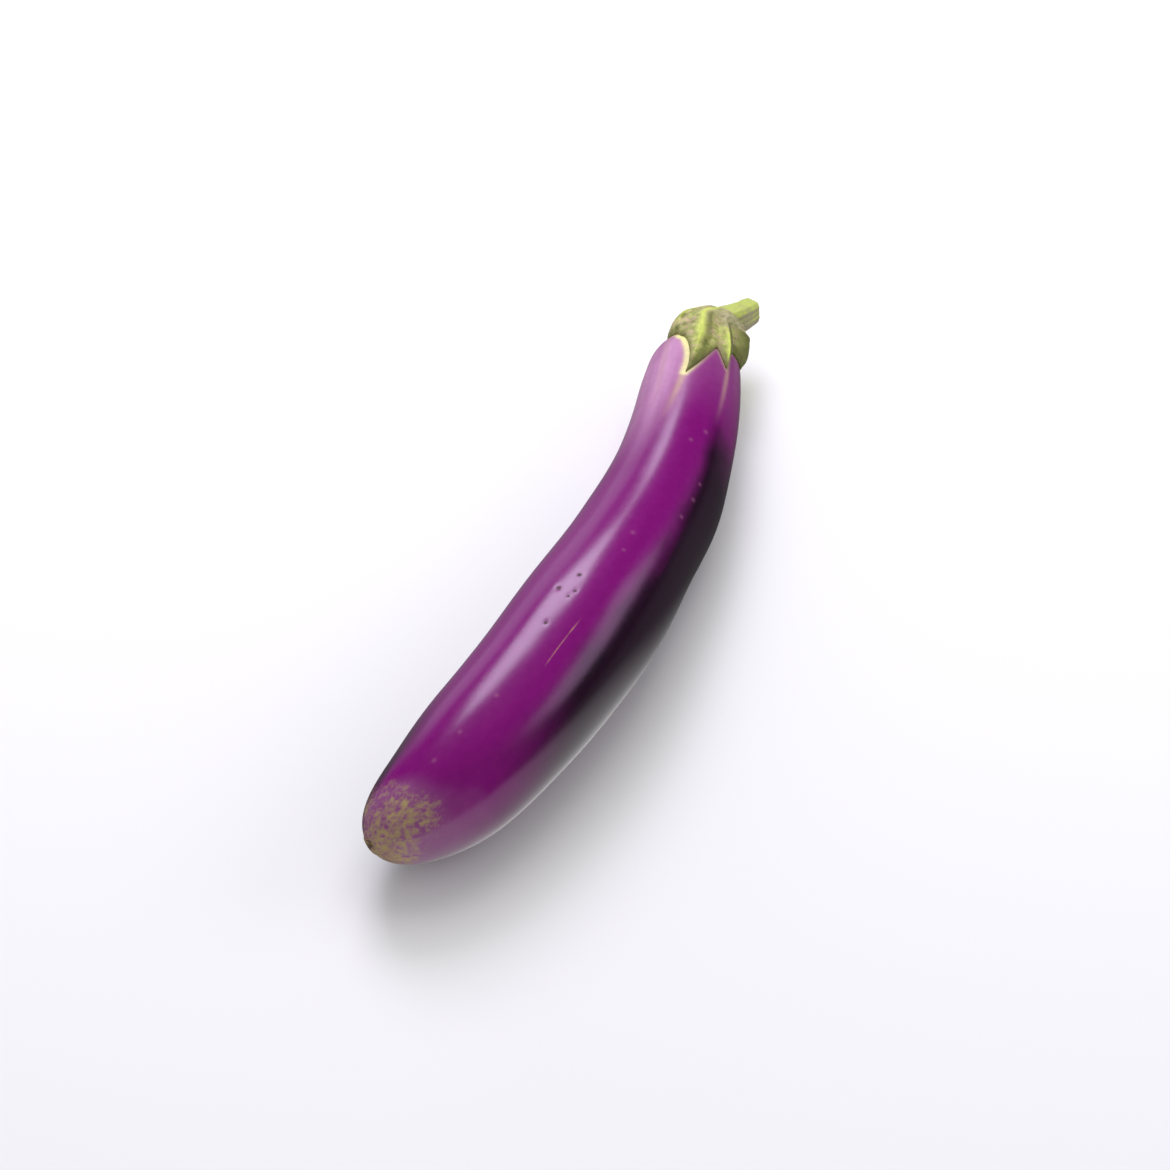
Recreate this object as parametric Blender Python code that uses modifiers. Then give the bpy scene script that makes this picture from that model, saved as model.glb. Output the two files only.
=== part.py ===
"""An eggplant as picked, lying on its side: a bent purple fruit, its green calyx and its cut stem."""

from math import cos, hypot, radians, sin

import bmesh
import bpy
import numpy as np
from mathutils import Vector

# Driving dimensions, in millimetres and degrees. MM turns a length into Blender's metres.
MM = 0.001
TOUCHING_GAP = 0.3
WELD_DISTANCE = 0.01

# The fruit. A distance runs along its axis, from its shoulder under the calyx to its blossom end.
FRUIT_LENGTH = 260
FRUIT_RADII = ((0, 15.2), (30, 17.8), (65, 20), (105, 22), (145, 24), (185, 23.8), (220, 22), (260, 20.5))
SHOULDER_DEPTH = 17
SHOULDER_FULLNESS = 2.3
BLOSSOM_DEPTH = 56
BLOSSOM_FULLNESS = 2.3
FRUIT_SIDES = 48
SHOULDER_RINGS = 8
BODY_RINGS = 32
BLOSSOM_RINGS = 16

# The bend. A heading is the way from stem to blossom, counted from +X; the fruit bends in the level plane.
SHOULDER_PLACE = (113.87, 17.35)
AXIS_HEADINGS = ((0, 202), (65, 190.5), (130, 179.5), (195, 172), (260, 155))
AXIS_HEIGHTS = (
    (0, 18.2),
    (55, 20.3),
    (92, 21.0),
    (130, 23.5),
    (158, 24.4),
    (184, 23.5),
    (225, 22.4),
    (260, 21.5),
)
AXIS_STEP = 0.5
REACH_BEFORE_SHOULDER = 20

# Past the shoulder the axis runs on through the crown. For each millimetre it turns by CROWN_TURN degrees,
# and once it is well past CROWN_EASE it moves sideways by CROWN_SHIFT and up by CROWN_RISE.
CROWN_TURN = 2.5
CROWN_SHIFT = 0.52
CROWN_RISE = 0.19
CROWN_EASE = 6

# The calyx's edge: gaps and lobe tips in turn, as the angle round the fruit from its upper side, the distance
# down the fruit, and how far the tip swings sideways from its root.
CALYX_EDGE = (
    (-17, 12.5, 0),
    (7, 35.5, -12),
    (27, 17.5, 0),
    (38, 26, 4),
    (54, 14, 0),
    (78, 13.5, 4),
    (104, 10.5, 0),
    (140, 26, -6),
    (162, 16, 0),
    (184, 25, 4),
    (206, 16, 0),
    (222, 27, -4),
    (276, 3, 0),
    (335, 9.5, 0),
)
LOBE_TAPER = 1.5
LOBE_SWING = 3
CALYX_COLUMNS_PER_EDGE = 5
CALYX_ROWS = 13
ROW_CROWDING = 1.4
HOLE_RINGS = 6
HOLE_GAP = 0.7
MERIDIAN_REACH = 40
MERIDIAN_POINTS = 600

# The calyx stands up as a crown that narrows to a neck round the stem. Down the lobes it is a thin sheet with
# ribs. A lobe with a form of its own is given as the angle of its middle, half its width, and its height.
CROWN_HEIGHT = 8.4
CROWN_WIDTH = 11.5
CROWN_LEAN = 0.4
CROWN_FADE = 3
NECK_HEIGHT = 5.5
NECK_WIDTH = 1.8
SHOULDER_THICKNESS = 2.4
EDGE_THICKNESS = 1.0
RIB_HEIGHT = 1.1
RIB_SHARPNESS = 3
RIB_LOW_POINT = 1.9
THICK_LOBE = (335, 22, 0.5)
PROUD_LOBE = (84, 36, 3.2)
PROUD_LOW_POINT = 1.5

# The stem, as the radius it would have without ridges.
STEM_RADIUS = 6
STEM_RIDGES = 5
RIDGE_HEIGHT = 0.06
STEM_SIDES = 30
STEM_STATIONS = 3
STEM_PATH_STEPS = 6
STEM_ROOT_GAP = 0.5
STEM_CROWN_EXIT = -17
STEM_REACH = (9.8, -4.4, -1.2)
STEM_END_SCALE = 0.74
STEM_CUT_OFF = 4
CUT_TILT = 24

FRUIT_COLOUR = (0.17, 0.012, 0.14, 1)
CALYX_COLOUR = (0.21, 0.27, 0.06, 1)
STEM_COLOUR = (0.33, 0.38, 0.08, 1)
SKIN_ROUGHNESS = 0.28
GREEN_ROUGHNESS = 0.6


def smooth(stations, where):
    """Reads a smooth curve through (place, value) stations."""
    places, values = np.array(stations, float).T
    slopes = np.gradient(values, places)
    start = np.clip(np.searchsorted(places, where, side="right") - 1, 0, len(places) - 2)
    span = places[start + 1] - places[start]
    t = (where - places[start]) / span
    rise = (2 * t**3 - 3 * t**2 + 1) * values[start] + (3 * t**2 - 2 * t**3) * values[start + 1]
    lean = (t**3 - 2 * t**2 + t) * slopes[start] + (t**3 - t**2) * slopes[start + 1]
    return rise + span * lean


def rounded_end(depth_left, fullness):
    """How wide a rounded end still is, from 1 where it starts down to 0 at its tip."""
    return np.clip(1 - np.clip(depth_left, 0, 1) ** fullness, 0, 1) ** (1 / fullness)


def fruit_radius(along):
    """The fruit's radius at a distance from its shoulder."""
    radius = smooth(FRUIT_RADII, np.clip(along, 0, FRUIT_LENGTH))
    shoulder = rounded_end(1 - along / SHOULDER_DEPTH, SHOULDER_FULLNESS)
    blossom = rounded_end(1 - (FRUIT_LENGTH - along) / BLOSSOM_DEPTH, BLOSSOM_FULLNESS)
    return radius * shoulder * blossom


def axis_heading(along):
    """The heading of the eggplant's axis, in radians. Through the crown it turns steadily aside."""
    fruit_heading = smooth(AXIS_HEADINGS, np.clip(along, 0, FRUIT_LENGTH))
    return np.radians(fruit_heading + CROWN_TURN * np.minimum(along, 0))


def axis_table():
    """Distances along the axis and its level places there, found by walking its headings."""
    along = np.arange(-REACH_BEFORE_SHOULDER, FRUIT_LENGTH + AXIS_STEP, AXIS_STEP)
    middle = axis_heading(along[:-1] + AXIS_STEP / 2)
    x = np.concatenate(([0], np.cumsum(np.cos(middle)) * AXIS_STEP))
    y = np.concatenate(([0], np.cumsum(np.sin(middle)) * AXIS_STEP))
    x += SHOULDER_PLACE[0] - np.interp(0, along, x)
    y += SHOULDER_PLACE[1] - np.interp(0, along, y)
    return along, x, y


AXIS_ALONG, AXIS_X, AXIS_Y = axis_table()


def bent(rise, side, along):
    """Takes a point of the straight eggplant to its place in the bent one, and flattens what is below zero.

    rise is upwards from the axis, side is level and across it, along is the distance from the shoulder.
    """
    heading = axis_heading(along)
    past_shoulder = np.maximum(-along, 0)
    lean = past_shoulder**2 / (past_shoulder + CROWN_EASE)
    aside = side + CROWN_SHIFT * lean
    x = np.interp(along, AXIS_ALONG, AXIS_X) - aside * np.sin(heading)
    y = np.interp(along, AXIS_ALONG, AXIS_Y) + aside * np.cos(heading)
    z = smooth(AXIS_HEIGHTS, np.clip(along, 0, FRUIT_LENGTH)) + rise + CROWN_RISE * lean
    return np.stack((x, y, np.maximum(z, 0)), axis=-1)


def outward_at(along):
    """The direction that the crown's middle line takes towards the stem's end, past the shoulder."""
    step = Vector(bent(0, 0, along - AXIS_STEP)) - Vector(bent(0, 0, along))
    return step.normalized()


def bend_mesh(mesh):
    """Bends a mesh whose straight axis runs down Z, with the eggplant's upper side towards +X."""
    points = np.empty(len(mesh.vertices) * 3)
    mesh.vertices.foreach_get("co", points)
    x, y, z = points.reshape(-1, 3).T / MM
    mesh.vertices.foreach_set("co", (bent(x, y, -z) * MM).ravel())
    mesh.update()


def material(name, colour, roughness):
    """A plain Principled material."""
    new = bpy.data.materials.new(name)
    new.use_nodes = True
    shader = new.node_tree.nodes["Principled BSDF"]
    shader.inputs["Base Color"].default_value = colour
    shader.inputs["Roughness"].default_value = roughness
    shader.inputs["Metallic"].default_value = 0
    new.diffuse_color = colour
    return new


def evaluated_mesh(shape, name):
    """Turns an object or a curve, with its modifiers, into a plain mesh in world space and removes it."""
    graph = bpy.context.evaluated_depsgraph_get()
    mesh = bpy.data.meshes.new_from_object(shape.evaluated_get(graph))
    mesh.transform(shape.matrix_world)
    mesh.name = name
    bpy.data.objects.remove(shape)
    return mesh


def finish_piece(name, mesh, look, collection):
    """Puts a finished mesh in the scene as a smooth-shaded object with its own material."""
    mesh.materials.clear()
    mesh.materials.append(look)
    mesh.shade_smooth()
    piece = bpy.data.objects.new(name, mesh)
    collection.objects.link(piece)
    return piece


def fruit_stations():
    """Distances along the fruit for its rings, close together at both rounded ends."""
    shoulder = SHOULDER_DEPTH * (1 - np.cos(np.linspace(0, np.pi / 2, SHOULDER_RINGS + 1)))
    body = np.linspace(SHOULDER_DEPTH, FRUIT_LENGTH - BLOSSOM_DEPTH, BODY_RINGS + 1)
    blossom = FRUIT_LENGTH - BLOSSOM_DEPTH * (1 - np.sin(np.linspace(0, np.pi / 2, BLOSSOM_RINGS + 1)))
    return np.concatenate((shoulder, body[1:], blossom[1:]))


def build_fruit(collection):
    """The fruit: a turned profile, bent along the axis."""
    along = fruit_stations()
    profile = bpy.data.meshes.new("fruit profile")
    points = [(radius * MM, 0, -place * MM) for place, radius in zip(along, fruit_radius(along))]
    profile.from_pydata(points, [(i, i + 1) for i in range(len(points) - 1)], [])
    turned = bpy.data.objects.new("fruit profile", profile)
    collection.objects.link(turned)
    screw = turned.modifiers.new("turn", "SCREW")
    screw.steps = FRUIT_SIDES
    screw.render_steps = FRUIT_SIDES
    screw.use_merge_vertices = True
    screw.merge_threshold = 0.0001
    mesh = evaluated_mesh(turned, "fruit")
    bend_mesh(mesh)
    return finish_piece("fruit", mesh, material("eggplant skin", FRUIT_COLOUR, SKIN_ROUGHNESS), collection)


def meridian_table():
    """The fruit's outline from its top: arc length, distance along, radius, and the outward direction."""
    along = MERIDIAN_REACH * np.linspace(0, 1, MERIDIAN_POINTS) ** 2
    radius = fruit_radius(along)
    arc = np.concatenate(([0], np.cumsum(np.hypot(np.diff(along), np.diff(radius)))))
    outward = np.stack((-np.gradient(radius, arc), np.gradient(along, arc)))
    outward /= np.hypot(*outward)
    return arc, along, radius, outward


ARC, ARC_ALONG, ARC_RADIUS, ARC_OUTWARD = meridian_table()

# The calyx's hole is a little wider than the stem, because the stem leans over in it.
HOLE_RADIUS = (STEM_RADIUS * (1 + RIDGE_HEIGHT) + HOLE_GAP) * hypot(1, CROWN_SHIFT, CROWN_RISE)
HOLE_ARC = np.interp(HOLE_RADIUS, ARC_RADIUS, ARC)


def around(angle, centre):
    """The angle between two directions round the fruit, as a size."""
    return np.abs((angle - centre + 180) % 360 - 180)


def hump(angle, lobe):
    """1 on the middle of a lobe such as PROUD_LOBE, falling smoothly to 0 at half its width."""
    return np.cos(np.minimum(around(angle, lobe[0]) / lobe[1], 1) * np.pi / 2) ** 2


def calyx_column(turn):
    """The edge at a place in CALYX_EDGE's round: root angle, reach, swing, and how near a lobe's middle it is."""
    first = int(turn) % len(CALYX_EDGE)
    part = turn - int(turn)
    start = CALYX_EDGE[first]
    end = CALYX_EDGE[(first + 1) % len(CALYX_EDGE)]
    turn_between = (end[0] - start[0]) % 360
    starts_in_gap = first % 2 == 0
    to_tip = part if starts_in_gap else 1 - part
    gap, tip = (start, end) if starts_in_gap else (end, start)
    reach = gap[1] + (tip[1] - gap[1]) * to_tip**LOBE_TAPER
    return start[0] + turn_between * part, reach, tip[2] * to_tip**LOBE_SWING, to_tip


def crown_height(arc, down, angle):
    """How far the crown stands up past the calyx's sheet, at an arc length from the fruit's top."""
    from_hole = arc - HOLE_ARC
    dome = CROWN_HEIGHT * (1 + CROWN_LEAN * np.sin(np.radians(angle))) / (1 + (from_hole / CROWN_WIDTH) ** 4)
    return (dome + NECK_HEIGHT * np.exp(-from_hole / NECK_WIDTH)) * (1 - down**CROWN_FADE)


def calyx_thickness(down, near_middle, angle):
    """The thickness of the calyx's sheet, in mm; down runs from 0 at the hole to 1 at the edge."""
    body = SHOULDER_THICKNESS + (EDGE_THICKNESS - SHOULDER_THICKNESS) * down**2
    rib = RIB_HEIGHT * near_middle**RIB_SHARPNESS * np.sin(np.pi * down**RIB_LOW_POINT)
    proud = PROUD_LOBE[2] * hump(angle, PROUD_LOBE) * np.sin(np.pi * down**PROUD_LOW_POINT)
    thick = THICK_LOBE[2] * hump(angle, THICK_LOBE) * down**2
    return body + rib + proud + thick


def calyx_points(turn, down):
    """The inner and outer points of the straight calyx at a place in its round and down its sheet.

    At the hole the sheet has no thickness, so that the crown's height alone makes a straight wall there.
    """
    root_angle, reach, swing, near_middle = calyx_column(turn)
    arc = HOLE_ARC + (np.interp(reach, ARC_ALONG, ARC) - HOLE_ARC) * down**ROW_CROWDING
    angle = root_angle + swing * down**LOBE_SWING
    along, radius = np.interp(arc, ARC, ARC_ALONG), np.interp(arc, ARC, ARC_RADIUS)
    outward = [np.interp(arc, ARC, part) for part in ARC_OUTWARD]
    past_hole = min(down * CALYX_ROWS, 1)
    thick = TOUCHING_GAP + calyx_thickness(down, near_middle, angle) * past_hole
    inner_along, inner_radius = along + outward[0] * TOUCHING_GAP, radius + outward[1] * TOUCHING_GAP
    outer_along, outer_radius = along + outward[0] * thick, radius + outward[1] * thick
    outer_along -= crown_height(arc, down, angle)
    across = Vector((np.cos(np.radians(angle)), np.sin(np.radians(angle)), 0))
    down_axis = Vector((0, 0, -1))
    inner = across * inner_radius + down_axis * inner_along
    outer = across * outer_radius + down_axis * outer_along
    return inner * MM, outer * MM


def is_upright(edge):
    """Whether an edge of the straight calyx runs along the axis, as those of its hole's wall do."""
    return (edge.verts[0].co - edge.verts[1].co).xy.length < WELD_DISTANCE * MM


def build_calyx(collection):
    """The calyx: a sheet laid on the fruit's shoulder, cut to its lobes and raised to its outer side."""
    columns = CALYX_COLUMNS_PER_EDGE * len(CALYX_EDGE)
    sheet = bmesh.new()
    bmesh.ops.create_grid(sheet, x_segments=columns, y_segments=CALYX_ROWS, size=0.5)
    outer = sheet.verts.layers.float_vector.new("outer side")
    for vertex in sheet.verts:
        turn = round((vertex.co.x + 0.5) * columns) / CALYX_COLUMNS_PER_EDGE
        down = round((vertex.co.y + 0.5) * CALYX_ROWS) / CALYX_ROWS
        vertex.co, vertex[outer] = calyx_points(turn % len(CALYX_EDGE), down)
    bmesh.ops.remove_doubles(sheet, verts=sheet.verts, dist=WELD_DISTANCE * MM)
    raised = bmesh.ops.extrude_face_region(sheet, geom=sheet.faces[:], use_keep_orig=True)
    for vertex in raised["geom"]:
        if isinstance(vertex, bmesh.types.BMVert):
            vertex.co = vertex[outer]
    hole_wall = [edge for edge in sheet.edges if edge.calc_length() > NECK_HEIGHT * MM and is_upright(edge)]
    bmesh.ops.subdivide_edges(sheet, edges=hole_wall, cuts=HOLE_RINGS, use_grid_fill=True)
    bmesh.ops.recalc_face_normals(sheet, faces=sheet.faces)
    mesh = bpy.data.meshes.new("calyx")
    sheet.to_mesh(mesh)
    sheet.free()
    bend_mesh(mesh)
    return finish_piece("calyx", mesh, material("calyx green", CALYX_COLOUR, GREEN_ROUGHNESS), collection)


def ridged_outline():
    """The stem's section: a circle with shallow ridges, as a closed curve."""
    outline = bpy.data.curves.new("stem section", "CURVE")
    outline.dimensions = "3D"
    spline = outline.splines.new("POLY")
    spline.points.add(STEM_SIDES - 1)
    spline.use_cyclic_u = True
    for i, point in enumerate(spline.points):
        angle = 2 * np.pi * i / STEM_SIDES
        radius = STEM_RADIUS * (1 + RIDGE_HEIGHT * np.cos(STEM_RIDGES * angle)) * MM
        point.co = (radius * np.cos(angle), radius * np.sin(angle), 0, 1)
    section = bpy.data.objects.new("stem section", outline)
    section.hide_render = True
    section.display_type = "WIRE"
    return section


def stem_route():
    """The places that the stem's middle runs through, its direction at each, and the middle of its cut."""
    in_crown = np.linspace(-STEM_ROOT_GAP, STEM_CROWN_EXIT, STEM_STATIONS)
    places = [Vector(bent(0, 0, along)) * MM for along in in_crown]
    directions = [outward_at(along) for along in in_crown]
    cut_place = places[-1] + Vector(STEM_REACH) * MM
    aside = (cut_place - places[-1]).normalized()
    places.append(cut_place + aside * STEM_CUT_OFF * MM)
    directions.append(aside)
    return places, directions, cut_place


def swept_stem(places, directions, section):
    """The section swept along the stem's route, as a curve object."""
    path = bpy.data.curves.new("stem path", "CURVE")
    path.dimensions = "3D"
    path.twist_mode = "MINIMUM"
    path.resolution_u = STEM_PATH_STEPS
    path.bevel_mode = "OBJECT"
    path.bevel_object = section
    path.use_fill_caps = True
    points = path.splines.new("BEZIER").bezier_points
    points.add(len(places) - 1)
    spans = [(end_place - start_place).length / 3 for start_place, end_place in zip(places, places[1:])]
    for i, point in enumerate(points):
        point.co = places[i]
        point.handle_left = places[i] - directions[i] * spans[max(i - 1, 0)]
        point.handle_right = places[i] + directions[i] * spans[min(i, len(spans) - 1)]
    points[-1].radius = STEM_END_SCALE
    return bpy.data.objects.new("stem path", path)


def cut_aslant(mesh, cut_place, aside):
    """Cuts the stem's free end off with a plane that leans over it, and closes the cut."""
    cut = bmesh.new()
    cut.from_mesh(mesh)
    bmesh.ops.remove_doubles(cut, verts=cut.verts, dist=WELD_DISTANCE * MM)
    facing = aside * cos(radians(CUT_TILT)) - Vector((0, 0, sin(radians(CUT_TILT))))
    everything = cut.verts[:] + cut.edges[:] + cut.faces[:]
    sliced = bmesh.ops.bisect_plane(cut, geom=everything, plane_co=cut_place, plane_no=facing, clear_outer=True)
    rim = [item for item in sliced["geom_cut"] if isinstance(item, bmesh.types.BMEdge)]
    bmesh.ops.contextual_create(cut, geom=rim)
    bmesh.ops.recalc_face_normals(cut, faces=cut.faces)
    cut.to_mesh(mesh)
    cut.free()


def build_stem(collection):
    """The stem: a ridged section swept from the fruit's top through the calyx's hole, and cut aslant."""
    places, directions, cut_place = stem_route()
    section = ridged_outline()
    swept = swept_stem(places, directions, section)
    collection.objects.link(section)
    collection.objects.link(swept)
    mesh = evaluated_mesh(swept, "stem")
    bpy.data.objects.remove(section)
    cut_aslant(mesh, cut_place, directions[-1])
    return finish_piece("stem", mesh, material("stem green", STEM_COLOUR, GREEN_ROUGHNESS), collection)


def main():
    """Clears the scene and builds the eggplant's pieces in their own collection."""
    for old in list(bpy.data.objects):
        bpy.data.objects.remove(old)
    collection = bpy.data.collections.new("eggplant")
    bpy.context.scene.collection.children.link(collection)
    build_fruit(collection)
    build_calyx(collection)
    build_stem(collection)


main()
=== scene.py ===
"""An eggplant as picked, lying on its side: its skin, calyx and stem in full detail."""

from math import cos, pi, radians, sin

import bmesh
import bpy
import numpy as np
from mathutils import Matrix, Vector


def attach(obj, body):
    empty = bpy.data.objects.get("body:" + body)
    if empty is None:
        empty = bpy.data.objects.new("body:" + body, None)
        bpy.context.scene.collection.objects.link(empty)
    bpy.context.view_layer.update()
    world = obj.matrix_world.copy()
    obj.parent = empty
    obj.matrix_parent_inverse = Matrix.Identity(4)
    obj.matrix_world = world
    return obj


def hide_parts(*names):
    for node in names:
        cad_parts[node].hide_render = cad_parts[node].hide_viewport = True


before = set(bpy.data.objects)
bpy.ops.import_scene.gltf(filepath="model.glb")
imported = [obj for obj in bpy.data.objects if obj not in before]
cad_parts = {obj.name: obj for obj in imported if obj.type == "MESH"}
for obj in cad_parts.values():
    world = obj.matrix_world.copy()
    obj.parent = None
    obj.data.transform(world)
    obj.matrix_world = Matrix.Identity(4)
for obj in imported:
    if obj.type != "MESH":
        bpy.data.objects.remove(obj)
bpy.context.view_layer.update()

# Lengths are in millimetres and angles in degrees, as in the part's own source, except where a comment says
# otherwise. MM turns a length into metres.
MM = 0.001

# The fruit. A distance runs along its axis from the shoulder under the calyx, and an angle round it from its
# top. END_FULLNESS is the power of the curve that rounds both ends.
FRUIT_LENGTH = 260
FRUIT_RADII = (
    (0, 15.2), (30, 17.8), (65, 20), (105, 22),
    (145, 24), (185, 23.8), (220, 22), (260, 20.5),
)
SHOULDER_DEPTH = 17
BLOSSOM_DEPTH = 56
END_FULLNESS = 2.3
FRUIT_RINGS = 380
FRUIT_SIDES = 240

# The bend. A heading is the way from stem to blossom, counted from +X.
SHOULDER_PLACE = (113.87, 17.35)
AXIS_HEADINGS = ((0, 202), (65, 190.5), (130, 179.5), (195, 172), (260, 155))
AXIS_HEIGHTS = (
    (0, 18.2), (55, 20.3), (92, 21.0), (130, 23.5),
    (158, 24.4), (184, 23.5), (225, 22.4), (260, 21.5),
)
AXIS_STEP = 0.5
AXIS_LEAD = 26

# Past the shoulder the axis runs on through the crown. For each millimetre it turns by CROWN_TURN degrees,
# and once it is well past CROWN_EASE it moves sideways by CROWN_SHIFT and up by CROWN_RISE.
CROWN_TURN = 2.5
CROWN_SHIFT = 0.52
CROWN_RISE = 0.19
CROWN_EASE = 6

# Low swells and hollows that make the fruit uneven: distance, angle, height, half length and half width, the
# last in degrees. They fade where the fruit is thinner than THIN_RADIUS.
SWELLS = (
    (28, -78, 0.8, 16, 38),
    (68, -62, -0.35, 14, 35),
    (101, -66, 0.45, 16, 35),
    (171, -66, -0.4, 20, 35),
    (210, -64, 0.3, 14, 35),
    (237, -56, -0.65, 13, 35),
    (200, 130, -0.6, 20, 38),
    (228, 123, 0.4, 14, 35),
    (150, 108, 0.6, 18, 38),
    (113, 116, -0.5, 14, 35),
    (84, 102, 0.75, 16, 38),
    (45, 30, 0.2, 12, 20),
    (130, 22, -0.12, 14, 22),
)

THIN_RADIUS = 6

# Small sunken scabs and pale dots in the skin: distance, angle and radius. PIT_FRUIT_RADIUS is how thick the
# fruit itself is there.
PIT_FRUIT_RADIUS = 24
PITS = ((150, -3, 0.9), (158, -11, 1.0), (173, -2, 0.8), (157, 2, 0.6), (160, 0, 0.6))
DOTS = (
    (63, 32, 0.9), (70, 20, 0.8), (94, 44, 0.8), (86, 44, 0.6), (104, 41, 0.7),
    (123, 12, 0.8), (132, 14, 0.6), (205, 4, 0.8), (222, 2, 0.7), (234, 3, 0.8),
)

# The scar at the blossom end is a dimple in a low ring: the half width of each, the ring's radius, its height
# against the dimple's depth, where along the fruit the scar begins, and how soft its middle is.
SCAR_WIDTH = 1.9
SCAR_RING_RADIUS = 3.0
SCAR_RING_WIDTH = 1.1
SCAR_RING_SHARE = 0.55
SCAR_START = (245, 250)
SCAR_BLUR = 0.1

# Points that are nearer than this are one point.
MERGE_DISTANCE = 0.002


def operator(operation, swapped=False):
    """A method that adds the Math node of an operator, with its two values as written or swapped."""

    def method(self, other):
        return self.math(operation, *((other, self) if swapped else (self, other)))

    return method


class Wire:
    """One output of a node. Arithmetic on it adds Math nodes to its tree."""

    def __init__(self, tree, socket):
        self.tree = tree
        self.socket = socket

    def math(self, operation, *values):
        sockets = dict(enumerate(values))
        return self.tree.add("ShaderNodeMath", sockets, operation=operation)

    __add__ = __radd__ = operator("ADD")
    __sub__ = operator("SUBTRACT")
    __rsub__ = operator("SUBTRACT", swapped=True)
    __mul__ = __rmul__ = operator("MULTIPLY")
    __truediv__ = operator("DIVIDE")
    __rtruediv__ = operator("DIVIDE", swapped=True)
    __pow__ = operator("POWER")

    def __neg__(self):
        return self * -1

    def at_least(self, other):
        return self.math("MAXIMUM", self, other)

    def at_most(self, other):
        return self.math("MINIMUM", self, other)

    def size(self):
        return self.math("ABSOLUTE", self)

    def cosine(self):
        return self.math("COSINE", self)

    def sine(self):
        return self.math("SINE", self)

    def exp(self):
        return self.math("EXPONENT", self)

    def clamped(self):
        return self.at_least(0).at_most(1)

    def ramp(self, start, end):
        """0 at start, 1 at end and smooth between them; start may be the larger."""
        place = {0: self, 1: start, 2: end, 3: 0, 4: 1}
        return self.tree.add("ShaderNodeMapRange", place, interpolation_type="SMOOTHSTEP")

    def bell(self, centre, half_width):
        """1 at centre, falling off on both sides."""
        away = (self - centre) / half_width
        return (-(away * away)).exp()

    def parts(self):
        """The three numbers of a vector."""
        split = self.tree.add("ShaderNodeSeparateXYZ", {0: self})
        return [split.output(i) for i in range(3)]

    def output(self, which):
        """Another output of the same node."""
        return Wire(self.tree, self.socket.node.outputs[which])


class Tree:
    """A node tree that is written as calls and expressions."""

    def __init__(self, nodes):
        self.nodes = nodes

    def add(self, kind, sockets=None, output=0, **settings):
        """Adds a node: its settings first, then the values or links of its sockets."""
        node = self.nodes.nodes.new(kind)
        for name, value in settings.items():
            setattr(node, name, value)
        for key, value in (sockets or {}).items():
            if isinstance(value, Wire):
                self.nodes.links.new(value.socket, node.inputs[key])
            else:
                node.inputs[key].default_value = value
        return Wire(self, node.outputs[output]) if node.outputs else node

    def vector(self, x, y, z):
        return self.add("ShaderNodeCombineXYZ", {0: x, 1: y, 2: z})

    def vector_math(self, operation, *values):
        sockets = dict(enumerate(values))
        return self.add("ShaderNodeVectorMath", sockets, operation=operation)

    def scaled(self, vector, factor):
        return self.add("ShaderNodeVectorMath", {0: vector, "Scale": factor}, operation="SCALE")

    def number(self, name):
        """A mesh attribute that is one number, for a shader."""
        return self.add("ShaderNodeAttribute", output="Fac", attribute_name=name)

    def triple(self, name):
        """A mesh attribute that is a vector, for a shader."""
        return self.add("ShaderNodeAttribute", output="Vector", attribute_name=name)

    def noise(self, place, scale, detail=2, roughness=0.5):
        """Smooth noise from 0 to 1 about 0.5."""
        sockets = {"Vector": place, "Scale": scale, "Detail": detail, "Roughness": roughness}
        return self.add("ShaderNodeTexNoise", sockets)

    def blend(self, mask, under, over):
        """The colour under, with the colour over laid on it where mask is 1."""
        return self.add("ShaderNodeMix", {0: mask, 6: under, 7: over}, 2, data_type="RGBA")

    def brightened(self, colour, factor):
        """The colour, lighter or darker by a factor."""
        return self.add("ShaderNodeHueSaturation", {"Value": factor, "Color": colour})

    def bump(self, height, strength, depth):
        """Relief for a shader's Normal; a height of 1 stands for the depth in mm."""
        sockets = {"Strength": strength, "Distance": depth * MM, "Height": height}
        return self.add("ShaderNodeBump", sockets)


def smooth(stations, where):
    """Reads a smooth curve through (place, value) stations."""
    places, values = np.array(stations, float).T
    slopes = np.gradient(values, places)
    start = np.clip(np.searchsorted(places, where, side="right") - 1, 0, len(places) - 2)
    span = places[start + 1] - places[start]
    t = (where - places[start]) / span
    rise = (2 * t**3 - 3 * t**2 + 1) * values[start] + (3 * t**2 - 2 * t**3) * values[start + 1]
    lean = (t**3 - 2 * t**2 + t) * slopes[start] + (t**3 - t**2) * slopes[start + 1]
    return rise + span * lean


def rounded_end(depth_left):
    """How wide a rounded end still is, from 1 where it starts down to 0 at its tip."""
    return np.clip(1 - np.clip(depth_left, 0, 1) ** END_FULLNESS, 0, 1) ** (1 / END_FULLNESS)


def fruit_radius(along):
    """The plain fruit's radius at a distance from its shoulder."""
    radius = smooth(FRUIT_RADII, np.clip(along, 0, FRUIT_LENGTH))
    shoulder = rounded_end(1 - along / SHOULDER_DEPTH)
    return radius * shoulder * rounded_end(1 - (FRUIT_LENGTH - along) / BLOSSOM_DEPTH)


def axis_heading(along):
    """The heading of the eggplant's axis, in radians. Through the crown it turns steadily aside."""
    fruit_heading = smooth(AXIS_HEADINGS, np.clip(along, 0, FRUIT_LENGTH))
    return np.radians(fruit_heading + CROWN_TURN * np.minimum(along, 0))


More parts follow.
